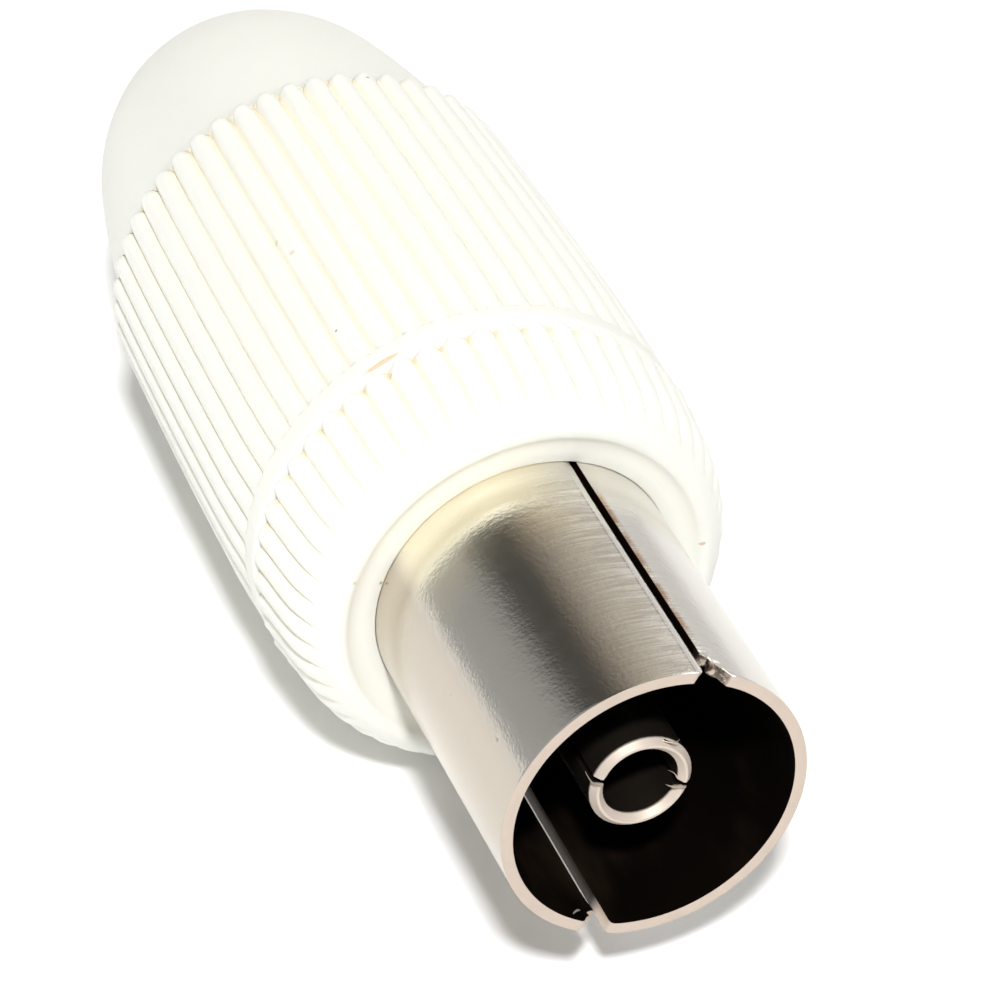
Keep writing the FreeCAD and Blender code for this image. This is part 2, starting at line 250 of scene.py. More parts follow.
class Tree:
    """A node tree, built by expressions."""

    def __init__(self, tree: bpy.types.NodeTree) -> None:
        """Keeps the tree's nodes and links."""
        self.nodes = tree.nodes
        self.links = tree.links

    def node(self, kind: str, settings: dict, *values: object, output: Union[str, int] = 0,
             **named: object) -> Socket:
        """Adds any node.

        Args:
            kind: the node's type.
            settings: properties that are set before its sockets.
            values: what its first sockets take, in order.
            output: the output to return.
            named: what its named sockets take.

        Returns:
            One output of the node.
        """
        item = self.nodes.new(kind)
        for key, value in settings.items():
            setattr(item, key, value)
        for key, value in list(enumerate(values)) + list(named.items()):
            self.feed(item.inputs[key], value)
        return Socket(self, item.outputs[output])

    def feed(self, target: bpy.types.NodeSocket, value: object) -> None:
        """Links a socket or sets its value.

        Args:
            target: the input to fill.
            value: a Socket to link, or the value to write.
        """
        if isinstance(value, Socket):
            self.links.new(value.output, target)
        elif value is not None:
            target.default_value = value

    def split(self, vector: Socket) -> list[Socket]:
        """Takes a vector apart into its three values."""
        parts = self.nodes.new("ShaderNodeSeparateXYZ")
        self.feed(parts.inputs[0], vector)
        return [Socket(self, item) for item in parts.outputs]


class Shader(Tree):
    """A material's node tree, with one Principled node as its surface."""

    def __init__(self, name: str) -> None:
        """Makes an empty material.

        Args:
            name: the material's name.
        """
        self.material = bpy.data.materials.new(name)
        self.material.use_nodes = True
        super().__init__(self.material.node_tree)
        self.surface = self.nodes["Principled BSDF"]
        self.place = self.node("ShaderNodeTexCoord", {}, output="Object")
        self.x, self.y, self.z = self.split(self.place)

    def set(self, **inputs: object) -> None:
        """Fills the Principled node's sockets, with spaces in their names as underscores."""
        for key, value in inputs.items():
            self.feed(self.surface.inputs[key.replace("_", " ")], value)

    def noise(self, scale: float, detail: float = 2.0, roughness: float = 0.5,
              place: "Socket | None" = None) -> Socket:
        """Adds a noise over the piece's own coordinates.

        Args:
            scale: its grain, per metre.
            detail: octaves.
            roughness: strength of the finer octaves.
            place: other coordinates to use.

        Returns:
            A value from 0 to 1.
        """
        return self.node(
            "ShaderNodeTexNoise", {}, Vector=place or self.place, Scale=scale, Detail=detail,
            Roughness=roughness)

    def cells(self, scale: float, place: "Socket | None" = None) -> Socket:
        """Distance to the nearest of many scattered points."""
        return self.node(
            "ShaderNodeTexVoronoi", {}, Vector=place or self.place, Scale=scale, output="Distance")

    def vector(self, x: "Socket | Number", y: "Socket | Number", z: "Socket | Number") -> Socket:
        """Joins three values."""
        return self.node("ShaderNodeCombineXYZ", {}, x, y, z)

    def mix(self, share: "Socket | Number", first: object, second: object) -> Socket:
        """Mixes two colours.

        Args:
            share: how much of the second.
            first: one colour.
            second: the other.

        Returns:
            The mixed colour.
        """
        item = self.nodes.new("ShaderNodeMix")
        item.data_type = "RGBA"
        for index, value in ((0, share), (6, first), (7, second)):
            self.feed(item.inputs[index], value)
        return Socket(self, item.outputs[2])

    def bump(self, height: Socket, distance: float, strength: float = 1.0,
             before: "Socket | None" = None) -> Socket:
        """Turns a height into a normal.

        Args:
            height: the height, around 0 to 1.
            distance: what a height of 1 is, in metres.
            strength: how much of it shows.
            before: a normal that it is laid over.

        Returns:
            The normal.
        """
        return self.node(
            "ShaderNodeBump", {}, Height=height, Distance=distance, Strength=strength,
            Normal=before)

    def azimuth(self) -> Socket:
        """Angle about the long axis in radians, from the top towards the right."""
        return self.x.angle_to(self.z)

    def radius(self) -> Socket:
        """Distance from the long axis in metres."""
        return (self.x * self.x + self.z * self.z) ** 0.5


@dataclass(frozen=True)
class Mark:
    """A speck of dirt or a stain on a moulding.

    Attributes:
        angle: degrees about the axis from the top towards the right.
        along: station in millimetres.
        half_round: half its size round the axis in millimetres.
        half_along: half its size along the axis in millimetres.
        colour: its colour.
        strength: how much of the plastic it hides.
        reach: radius at which it lies, in millimetres.
        half_out: half its size away from the axis in millimetres.
    """

    angle: float
    along: float
    half_round: float
    half_along: float
    colour: Colour
    strength: float
    reach: float = 7.9
    half_out: float = 0.9

    def point(self) -> tuple[float, float, float]:
        """The mark's centre in metres."""
        turned = math.radians(self.angle)
        return (math.sin(turned) * self.reach * MM, self.along * MM,
                math.cos(turned) * self.reach * MM)


AMBER: Colour = (0.72, 0.42, 0.12, 1.0)
SOOT: Colour = (0.10, 0.09, 0.08, 1.0)
STRAW: Colour = (0.62, 0.50, 0.24, 1.0)
RUST: Colour = (0.70, 0.20, 0.08, 1.0)


@dataclass(frozen=True)
class WhiteMoulding:
    """Finish of the two mouldings: warm white, satin, with painted cream shade in the valleys.

    Attributes:
        ribs: ribs round the moulding.
        notched: how much of the crease colour, a painted shade, the notches at the rear edge take.
        grip_radius: radius outside which the ribs lie.
        dish_radius: radius inside which the dish lies.
        dish_end: station where the dish's painted shade ends.
        crease: painted shade in the notches.
        crown: colour of the plastic.
        groove: painted shade in the valleys and the dish, also laid at random as clouds.
        marks: its specks and stains.
    """

    ribs: int = 51
    notched: float = 0.0
    grip_radius: float = 6.5
    dish_radius: float = 6.0
    dish_end: float = 11.5
    crease: Colour = (0.86, 0.70, 0.42, 1.0)
    crown: Colour = (0.93, 0.935, 0.87, 1.0)
    groove: Colour = (0.96, 0.90, 0.75, 1.0)
    marks: tuple[Mark, ...] = ()

    def build(self, name: str, first: float, last: float) -> bpy.types.Material:
        """Makes the material.

        Args:
            name: the material's name.
            first: station in millimetres where the ribs start.
            last: station where they end.

        Returns:
            The material.
        """
        shader = Shader(name)
        along, out = shader.y / MM, shader.radius() / MM
        share = (shader.azimuth() * (self.ribs / TURN) + 0.5).fraction()
        cusp = abs(share * 2.0 - 1.0)
        valley = cusp.ease(0.55, 1.0)
        inside = along.between(first - 0.4, first + 0.4, last - 0.2, last + 0.4)
        outer = out.ease(self.grip_radius, self.grip_radius + 0.4)
        dish = (1.0 - out.ease(self.dish_radius, self.dish_radius + 0.4)) * (
            1.0 - along.ease(self.dish_end, self.dish_end + 0.5))
        notch = cusp.ease(0.66, 0.98) * along.ease(last - 0.5, last - 0.1)
        cloud = shader.noise(160.0, 3.0)
        # Painted shade: the valleys between the ribs take the groove colour.
        colour = shader.mix(valley * inside * outer * 0.75, self.crown, self.groove)
        colour = shader.mix(cloud.ease(0.55, 0.8) * 0.10, colour, self.groove)
        # Painted shade in the dish round the bore.
        colour = shader.mix(dish * 0.15, colour, self.groove)
        # Painted shade in the notches at the rear edge.
        colour = shader.mix(notch * outer * self.notched, colour, self.crease)
        for mark in self.marks:
            colour = self._stain(shader, mark, colour)
        grain = shader.noise(5200.0, 2.0, 0.6)
        swirl = shader.noise(420.0, 2.0)
        scuff = shader.noise(1500.0, 4.0, 0.7).ease(0.60, 0.72)
        shader.set(
            Base_Color=colour,
            Roughness=0.33 + 0.10 * swirl + 0.12 * scuff + 0.10 * valley * inside,
            Normal=shader.bump(grain + swirl * 1.5, 0.000006, 0.35),
            Subsurface_Weight=0.12,
            Subsurface_Radius=(0.0012, 0.0010, 0.0007),
            Subsurface_Scale=1.0,
            IOR=1.49,
            Coat_Weight=0.0)
        return shader.material

    @staticmethod
    def _stain(shader: Shader, mark: Mark, under: Socket) -> Socket:
        """Lays one mark over a colour.

        Args:
            shader: the material's tree.
            mark: the mark.
            under: the colour below.

        Returns:
            The colour with the mark on it.
        """
        x, y, z = mark.point()
        turned = math.radians(mark.angle)
        round_way = ((shader.x - x) * math.cos(turned) - (shader.z - z) * math.sin(turned)) / MM
        out_way = ((shader.x - x) * math.sin(turned) + (shader.z - z) * math.cos(turned)) / MM
        along_way = (shader.y - y) / MM
        ragged = shader.noise(4200.0, 2.0) * 0.7
        apart = ((round_way / mark.half_round) ** 2.0 + (along_way / mark.half_along) ** 2.0
                 + (out_way / mark.half_out) ** 2.0)
        return shader.mix(
            (1.0 - (apart + ragged - 0.35).ease(0.35, 1.15)) * mark.strength, under, mark.colour)


@dataclass(frozen=True)
class BrushedNickel:
    """Finish of the barrel: satin nickel with fine brushing round it beside the slit.

    Attributes:
        tint: colour of the plating.
        worn: colour where it is stained.
        groove: colour between the brushed lines.
        rust: colour of the line on the slit's right edge.
        warm: painted reflection of the collar's face, laid beside the collar.
        flank: painted shade low on the left side.
        radius: the barrel's radius in millimetres.
        strip_from: azimuth where the bare strip beside the slit starts.
        strip_to: azimuth where it ends.
        strip_rear: station where it starts to fade.
    """

    tint: Colour = (0.80, 0.77, 0.72, 1.0)
    worn: Colour = (0.66, 0.60, 0.50, 1.0)
    groove: Colour = (0.36, 0.33, 0.29, 1.0)
    rust: Colour = (0.42, 0.22, 0.09, 1.0)
    warm: Colour = (0.98, 0.91, 0.74, 1.0)
    flank: Colour = (0.63, 0.57, 0.49, 1.0)
    radius: float = 5.15
    strip_from: float = 14.7
    strip_to: float = 19.0
    strip_rear: float = 9.0

    def build(self, name: str) -> bpy.types.Material:
        """Makes the material.

        Args:
            name: the material's name.

        Returns:
            The material.
        """
        shader = Shader(name)
        angle = shader.azimuth()
        arc = angle * self.radius
        station = shader.y / MM
        lines = shader.noise(1.0, 3.0, 0.6, shader.vector(arc * 0.45, station * 8.5, 0.0))
        hairs = shader.noise(1.0, 2.0, 0.5, shader.vector(arc * 0.8, station * 17.0, 5.0))
        blotch = shader.noise(1.0, 3.0, 0.6, shader.vector(arc * 1.2, station * 1.0, 3.0))
        degrees = angle * DEGREES
        front = 1.0 - station.ease(self.strip_rear, self.strip_rear + 2.0)
        start, end = self.strip_from, self.strip_to
        strip = degrees.between(start, start + 0.3, end, end + 1.0) * front
        seam = degrees.between(start - 0.9, start - 0.3, start - 0.2, start + 0.2) * front
        beside = degrees.between(-16.0, 6.0, 50.0, 75.0) * (
            1.0 - degrees.ease(end, end + 7.0) * 0.8) * (
            1.0 - station.ease(9.5, 11.5) * 0.6) * (1.0 - strip)
        rust = degrees.between(20.0, 21.2, 21.4, 23.6) * shader.noise(900.0, 2.0).ease(0.35, 0.6)
        streak = (lines * 0.7 + hairs * 0.3).ease(0.36, 0.66)
        pits = shader.noise(7500.0, 2.0, 0.6)
        ripple = shader.noise(1500.0, 2.0, 0.5)
        sparse = (1.0 - shader.cells(1100.0).ease(0.03, 0.12)) * (
            shader.noise(520.0, 1.0).ease(0.56, 0.62))
        stain_and_shade = shader.noise(330.0, 4.0, 0.62).ease(0.56, 0.74)
        tone = shader.mix(stain_and_shade * 0.3, self.tint, self.worn)
        # Painted shade low on the left side.
        tone = shader.mix(1.0 - degrees.ease(-64.0, -52.0), tone, self.flank)
        # Painted reflection of the collar's face on the barrel beside it.
        collar_reflection = station.ease(6.5, 9.0) * degrees.between(-64.0, -50.0, -4.0, 16.0)
        tone = shader.mix(collar_reflection * 0.85, tone, self.warm)
        lined = (beside * (1.0 - streak) * 0.42 + seam * 0.5).least(1.0)
        shader.set(
            Base_Color=shader.mix(
                rust * 0.75, shader.mix(lined, tone, self.groove), self.rust),
            Metallic=1.0,
            Roughness=0.17 + 0.06 * blotch + 0.16 * beside * streak + 0.05 * stain_and_shade + 0.2 * sparse,
            Normal=shader.bump(
                pits * 1.5 + ripple * 1.6 + beside * lines * 0.8 + sparse * 2.5, 0.0000050, 0.8))
        return shader.material


@dataclass(frozen=True)
class PaintedBoreShade:
    """Finish of the barrel's inner wall: painted shade, nearly black, with a faint brown sheen."""

    tint: Colour = (0.004, 0.0026, 0.0016, 1.0)
    sheen: Colour = (0.030, 0.019, 0.012, 1.0)

    def build(self, name: str) -> bpy.types.Material:
        """Makes the material.

        Args:
            name: the material's name.

        Returns:
            The material.
        """
        shader = Shader(name)
        smear = shader.noise(260.0, 4.0, 0.6, shader.vector(shader.x, shader.y * 0.35, shader.z))
        # Painted shade: the whole inner wall is coloured nearly black.
        shader.set(
            Base_Color=shader.mix(smear.ease(0.52, 0.85), self.tint, self.sheen),
            Metallic=0.35,
            Roughness=0.34 + 0.25 * smear,
            Specular_IOR_Level=0.12,
            Normal=shader.bump(smear, 0.000008, 0.4))
        return shader.material


@dataclass(frozen=True)
class CutEdge:
    """Finish of the sawn metal: pale and warm at the mouth, darkened by painted shade inside the
    slits.
    """

    tint: Colour = (0.68, 0.57, 0.48, 1.0)
    worn: Colour = (0.58, 0.49, 0.41, 1.0)
    # Painted shade for the sawn walls inside the slits.
    stain_and_shade: Colour = (0.020, 0.010, 0.005, 1.0)
    chip: Colour = (0.16, 0.13, 0.10, 1.0)
    fade_from: float = 0.75
    fade_to: float = 1.5

    def build(self, name: str) -> bpy.types.Material:
        """Makes the material.

        Args:
            name: the material's name.

        Returns:
            The material.
        """
        shader = Shader(name)
        scratch = shader.noise(5200.0, 3.0, 0.6)
        tone = shader.noise(900.0, 2.0)
        # Painted shade: darker from the mouth into the slits.
        slit_shade = (shader.y / MM).ease(self.fade_from, self.fade_to)
        pale = shader.mix(tone.ease(0.45, 0.8) * 0.4, self.tint, self.worn)
        degrees = shader.azimuth() * DEGREES
        torn = degrees.between(19.8, 20.6, 27.5, 29.0)
        pale = shader.mix(torn * shader.noise(3600.0, 3.0, 0.7).ease(0.40, 0.58), pale, self.chip)
        shader.set(
            Base_Color=shader.mix(slit_shade, pale, self.stain_and_shade),
            Metallic=(0.45 - 0.2 * slit_shade + 0.5 * torn).least(1.0),
            Roughness=0.40 + 0.2 * scratch - 0.2 * torn,
            Normal=shader.bump(scratch, 0.000004, 0.5))
        return shader.material


@dataclass(frozen=True)
class ContactMetal:
    """Finish of the contact: a pale sawn face, a tube painted nearly black as shade, bright plating
    behind.
    """

    face: Colour = (0.74, 0.64, 0.55, 1.0)
    face_worn: Colour = (0.62, 0.52, 0.44, 1.0)
    tube_shade: Colour = (0.020, 0.016, 0.012, 1.0)
    plating: Colour = (0.72, 0.68, 0.60, 1.0)
    face_end: float = 1.30
    tube_end: float = 13.6

    def build(self, name: str) -> bpy.types.Material:
        """Makes the material.

        Args:
            name: the material's name.

        Returns:
            The material.
        """
        shader = Shader(name)
        along = shader.y / MM
        behind = along.ease(self.face_end - 0.08, self.face_end + 0.02)
        rear = along.ease(self.tube_end, self.tube_end + 0.8)
        tone = shader.noise(1300.0, 3.0, 0.6)
        front = shader.mix(tone * 0.3, self.face, self.face_worn)
        # Painted shade: the tube down in the bore is coloured nearly black.
        body = shader.mix(rear, shader.mix(tone * 0.6, self.tube_shade, BLACK), self.plating)
        shader.set(
            Base_Color=shader.mix(behind, front, body),
            Metallic=(0.25 - 0.05 * behind + 0.8 * rear).least(1.0),
            Roughness=0.42 + 0.16 * tone - 0.1 * rear,
            Specular_IOR_Level=0.15,
            Normal=shader.bump(shader.noise(6000.0, 2.0), 0.000004, 0.4))
        return shader.material


@dataclass(frozen=True)
class TurnedMetal:
    """Finish of a small turned or stamped part: plated metal with tool marks round its axis."""

    tint: Colour
    roughness: float = 0.28
    pitch: float = 30.0

    def build(self, name: str) -> bpy.types.Material:
        """Makes the material.

        Args:
            name: the material's name.

        Returns:
            The material.
        """
        shader = Shader(name)
        rings = shader.noise(1.0, 3.0, 0.6, shader.vector(
            shader.x * 300.0, shader.y / MM * self.pitch * 0.3, shader.z * 300.0))
        tarnish = shader.noise(700.0, 4.0, 0.62).ease(0.5, 0.78)
        dull = tuple(value * 0.72 for value in self.tint[:3]) + (1.0,)
        shader.set(
            Base_Color=shader.mix(tarnish * 0.5, self.tint, dull),
            Metallic=1.0,
            Roughness=self.roughness + 0.12 * rings + 0.10 * tarnish,
            Normal=shader.bump(rings, 0.000004, 0.5))
        return shader.material


@dataclass(frozen=True)
class DarkInsulator:
    """Finish of the moulded insulator: nearly black, with a soft grain."""

    tint: Colour = (0.012, 0.010, 0.009, 1.0)
    dusty: Colour = (0.045, 0.036, 0.028, 1.0)

    def build(self, name: str) -> bpy.types.Material:
        """Makes the material.

        Args:
            name: the material's name.

        Returns:
            The material.
        """
        shader = Shader(name)
        dust = shader.noise(2600.0, 4.0, 0.7).ease(0.56, 0.78)
        shader.set(
            Base_Color=shader.mix(dust * 0.6, self.tint, self.dusty),
            Roughness=0.52 + 0.2 * dust,
            Specular_IOR_Level=0.3,
            Normal=shader.bump(shader.noise(4200.0, 2.0), 0.000006, 0.4))
        return shader.material


@dataclass(frozen=True)
class RibPattern:
    """Grip ribs round a moulding: round crowns with a sharp valley between each two.

    Attributes:
        count: ribs in the full turn.
        columns: mesh columns in each rib.
        power: how flat the crowns are.
    """

    count: int = 51
    columns: int = 12
    power: float = 2.8

    def steps(self) -> int:
        """Columns in the full turn."""
        return self.count * self.columns

    def across(self, angle: float) -> float:
        """Place across a rib: 0 on the crown and 1 in the valley."""
        share = angle * self.count / TURN
        return abs(2.0 * (share - math.floor(share + 0.5)))

    def fall(self, angle: float) -> float:
        """How far the crown has fallen at an angle, from 0 on top to 1 in the valley."""
        return self.across(angle) ** self.power


@dataclass
class RearCover:
    """The screw-on cover: ribbed belly, domed end, inner cone and thread."""

    ribs: RibPattern = field(default_factory=RibPattern)
    front: float = 15.36
    band_radius: float = 7.92
    rib_front: float = 16.31
    rib_rear: float = 31.71
    crown_radius: float = 8.0
    belly_drop: float = 0.32
    rib_depth: float = 0.27
    rear_depth: float = 0.40
    deepen_over: float = 3.0
    end_round: float = 0.34
    round_reach: float = 2.2
    nose_drop: float = 0.20
    back_reach: float = 0.7
    run_out: float = 0.30
    valley_floor: float = 7.26
    dome: Profile = ((7.22, 31.80), (7.10, 32.4), (6.98, 33.0), (6.83, 34.0), (6.66, 35.0),
                     (6.47, 36.0), (6.26, 37.0), (6.03, 38.0), (5.89, 38.5), (5.71, 39.0),
                     (5.50, 39.5), (5.25, 40.0), (4.97, 40.5), (4.62, 41.0), (4.36, 41.35),
                     (4.10, 41.68), (3.90, 41.9), (3.72, 42.0), (3.52, 42.0), (3.42, 41.95),
                     (3.32, 41.85))
    bore: Profile = ((3.30, 41.75), (3.30, 36.97), (4.40, 35.57), (6.0, 27.95), (6.12, 27.95),
                     (6.12, 24.5), (6.36, 24.5), (6.36, 15.56), (6.40, 15.44), (6.50, 15.37))
    thread_crest: float = 6.03
    thread_root: float = 6.40
    thread_end: float = 23.9

    def crown(self, along: float) -> float:
        """Finds the radius of the rib crowns: a belly that falls away to the rear.

        Args:
            along: the station in millimetres.

        Returns:
            The radius in millimetres.
        """
        share = (along - self.rib_front) / (self.rib_rear - self.rib_front)
        rise = (self.crown_radius - self.band_radius) * smooth_step(0.0, 0.16, share)
        return self.band_radius + rise - self.belly_drop * max(share, 0.0) ** 2

    def stations(self) -> list[float]:
        """Lists the stations of the ribbed belly, close together at both ends of the ribs.

        Returns:
            The stations in millimetres.
        """
        near = [0.0, 0.05, 0.10, 0.16, 0.23, 0.32, 0.45, 0.65, 0.95]
        middle = [1.6 + index * 1.1 for index in range(12)]
        far = [0.75, 0.55, 0.42, 0.32, 0.24, 0.17, 0.11, 0.06, 0.02, 0.0]
        return ([self.rib_front + item for item in near + middle]
                + [self.rib_rear - item for item in far])

    def skin(self) -> bmesh.types.BMesh:
        """Turns the section and carves the ribs by moving its columns.

        Returns:
            The cover's mesh without its thread.
        """
        stations = self.stations()
        rim = [(6.62, self.front), (7.66, self.front), (7.78, 15.38), (7.86, 15.43),
               (7.905, 15.52)] + [(self.band_radius, item) for item in (15.64, 15.95, 16.2)]
        belly = [(self.crown(along), along) for along in stations]
        profile = rim + belly + [(7.45, 31.72), (7.28, 31.74)] + list(self.dome) + list(self.bore)
        mesh = bmesh.new()
        turn(mesh, profile, self.ribs.steps())
        self._carve(mesh)
        bmesh.ops.recalc_face_normals(mesh, faces=mesh.faces)
        return mesh

    def _carve(self, mesh: bmesh.types.BMesh) -> None:
        """Lowers the valleys and rounds the rear ends of the ribs.

        Args:
            mesh: the turned section, whose vertices move.
        """
        for vert in mesh.verts:
            radius, along = Vector((vert.co.x, vert.co.z)).length / MM, vert.co.y / MM
            if radius < 7.0 or along < self.rib_front - 0.01:
                continue
            angle = azimuth(vert.co)
            across = self.ribs.across(angle)
            if along > self.rib_rear + 0.001:
                ease = 1.0 - smooth_step(self.rib_rear, self.rib_rear + self.back_reach, along)
                back = self.end_round * across ** 2 * ease
                place_on_ring(vert, angle, radius, along - back)
                continue
            run = along - self.rib_front
            open_up = min(run / self.run_out, 1.0)
            enter = math.sqrt(max(1.0 - (1.0 - open_up) ** 2, 0.0))
            leave = smooth_step(self.rib_rear - self.deepen_over, self.rib_rear, along)
            depth = self.rib_depth + (self.rear_depth - self.rib_depth) * leave
            rest = self.rib_rear - along
            nose = 0.0
            if rest < self.end_round:
                nose = 1.0 - math.sqrt(max(1.0 - (1.0 - rest / self.end_round) ** 2, 0.0))
            lowered = radius - depth * enter * self.ribs.fall(angle)
            lowered = max(lowered - nose * self.nose_drop, self.valley_floor)
            back = self.end_round * across ** 2 * smooth_step(self.round_reach, 0.0, rest)
            place_on_ring(vert, angle, lowered, along - back)

    def build(self, finish: WhiteMoulding) -> bpy.types.Object:
        """Makes the cover with its inner thread and dresses it.

        Args:
            finish: the finish of the plastic.

        Returns:
            The cover.
        """
        mesh = self.skin()
        thread = Thread(self.thread_root, self.thread_crest, self.thread_end, THREAD_PITCH / 2.0)
        thread.add_to(mesh)
        piece = finish_mesh(mesh, "rear_cover_moulding", MOULDING_SHARP, recalculate=False)
        piece.data.materials.append(
            finish.build("white_moulding_cover", self.rib_front, self.rib_rear))
        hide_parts("rear_cover")
        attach(piece, Body.COVER.value)
        return piece


@dataclass
class Thread:
    """A helical ridge on a moulding, which fades into its wall at both ends.

    Attributes:
        root: radius where the ridge leaves the wall.
        crest: radius of its top.
        end: station where it ends.
        phase: shift along the axis.
        pitch: distance between two turns.
        start: station where it starts.
        foot: half its width at the root.
        top: half its width at the crest.
        per_turn: mesh columns in a turn.
    """

    root: float
    crest: float
    end: float
    phase: float
    pitch: float = THREAD_PITCH
    start: float = THREAD_START
    foot: float = 0.33
    top: float = 0.15
    per_turn: int = 60

    def add_to(self, mesh: bmesh.types.BMesh) -> None:
        """Winds the ridge and adds it to a moulding's mesh.

        Args:
            mesh: the moulding's mesh, which keeps its own faces.
        """
        steps = int((self.end - self.start) / self.pitch * self.per_turn)
        length = steps / self.per_turn * self.pitch
        first = self.start + self.phase
        ridge = bmesh.new()
        geometry = draw_profile(ridge, [
            (self.root, first - self.foot), (self.crest, first - self.top),
            (self.crest, first + self.top), (self.root, first + self.foot)], True)
        bmesh.ops.spin(
            ridge, geom=geometry, cent=(0, 0, 0), axis=AXIS,
            dvec=AXIS * (self.pitch / self.per_turn * MM),
            angle=TURN * steps / self.per_turn, steps=steps, use_merge=False)
        bmesh.ops.remove_doubles(ridge, verts=ridge.verts, dist=MERGE_WITHIN)
        bmesh.ops.holes_fill(
            ridge, edges=[item for item in ridge.edges if item.is_boundary], sides=4)
        for vert in ridge.verts:
            radius, angle = Vector((vert.co.x, vert.co.z)).length / MM, azimuth(vert.co)
            along = vert.co.y / MM
            share = (along - first) / length
            fade = min(smooth_step(0.0, 0.08, share), smooth_step(0.0, 0.08, 1.0 - share))
            place_on_ring(vert, angle, self.root + (radius - self.root) * fade, along)
        bmesh.ops.recalc_face_normals(ridge, faces=ridge.faces)
        wound = bpy.data.meshes.new("ridge")
        ridge.to_mesh(wound)
        ridge.free()
        mesh.from_mesh(wound)
        bpy.data.meshes.remove(wound)


@dataclass
class FrontCollar:
    """The fixed collar: dished face, round shoulder, scalloped grip and threaded spigot."""

    ribs: RibPattern = field(default_factory=RibPattern)
    face: float = 11.1
    dish: float = 11.3
    rib_front: float = 11.8
    rear: float = 15.3
    bore: float = 5.155
    spigot: float = 6.30
    spigot_root: float = 5.95
    spigot_end: float = 23.3
    thread_end: float = 23.1
    rib_depth: float = 0.25
    notch_depth: float = 0.10
    notch_length: float = 0.42
    shoulder: Profile = ((6.46, 11.10), (6.56, 11.125), (6.68, 11.19), (6.84, 11.32),
                         (7.00, 11.50), (7.20, 11.74), (7.37, 12.0), (7.50, 12.25), (7.59, 12.5),
                         (7.65, 12.75), (7.70, 13.0), (7.755, 13.4), (7.81, 13.9), (7.86, 14.4),
                         (7.91, 14.8), (7.935, 14.95), (7.955, 15.06), (7.97, 15.14),
                         (7.98, 15.20), (7.975, 15.25), (7.955, 15.28), (7.92, 15.30))

    def build(self, finish: WhiteMoulding) -> bpy.types.Object:
        """Makes the collar with its thread and dresses it.

        Args:
            finish: the finish of the plastic.

        Returns:
            The collar.
        """
        dish = ([(self.bore, 11.36), (5.165, 11.325), (5.20, 11.305)]
                + round_corner((5.6, self.dish), (6.02, self.dish), (6.16, 11.16), 4)
                + [(6.22, 11.115), (6.30, self.face)])
        back = [(radius, self.rear) for radius in (7.6, 7.2, 6.3, 6.02)] + [
            (self.spigot_root, 15.36), (self.spigot_root, 22.9), (5.86, 23.2),
            (5.76, self.spigot_end), (self.bore + 0.03, self.spigot_end),
            (self.bore, self.spigot_end - 0.03)]
        mesh = bmesh.new()
        turn(mesh, dish + list(self.shoulder) + back, self.ribs.steps())
        self._carve(mesh)
        bmesh.ops.recalc_face_normals(mesh, faces=mesh.faces)
        Thread(self.spigot_root - 0.03, self.spigot, self.thread_end, 0.0).add_to(mesh)
        piece = finish_mesh(mesh, "front_collar_moulding", MOULDING_SHARP, recalculate=False)
        piece.data.materials.append(
            finish.build("white_moulding_collar", self.rib_front, self.rear))
        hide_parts("front_collar")
        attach(piece, Body.FRONT.value)
        return piece

    def _carve(self, mesh: bmesh.types.BMesh) -> None:
        """Scallops the grip, which fades at the shoulder and is notched at the rear edge.

        Args:
            mesh: the turned section, whose vertices move.
        """
        for vert in mesh.verts:
            radius, along = Vector((vert.co.x, vert.co.z)).length / MM, vert.co.y / MM
            if radius < 6.85 or along > self.rear + 0.001:
                continue
            angle = azimuth(vert.co)
            fade = smooth_step(11.3, 12.4, along)
            near_rear = smooth_step(self.rear - self.notch_length, self.rear, along)
            inward = smooth_step(6.85, 7.4, radius)
            depth = (self.rib_depth + self.notch_depth * near_rear) * fade * inward
            across = self.ribs.across(angle) ** (self.ribs.power - 1.1 * near_rear)
            place_on_ring(vert, angle, radius - depth * across, along)


@dataclass(frozen=True)
class Lip:
    """One edge of a slit and the corner that it makes with the mouth.

    Attributes:
        half: distance of the edge from the slit's middle line.
        width: how far round the mouth the corner is cut back.
        height: how far along the slit it is cut back.
        torn: how far the metal there is bent out of its place.
        curl: how far its edge is rolled in.
    """

    half: float = 0.12
    width: float = 0.35
    height: float = 0.35
    torn: float = 0.0
    curl: float = 0.02

    def setback(self, gap: float) -> float:
        """Finds how far the corner is cut back.

        Args:
            gap: distance from the slit's edge in millimetres.

        Returns:
            Station of the mouth's edge there.
        """
        if gap >= self.width:
            return 0.0
        share = 1.0 - max(gap, 0.0) / self.width
        power = 1.0 if self.torn else 2.0
        return self.height * (1.0 - (1.0 - share ** power) ** (1.0 / power))


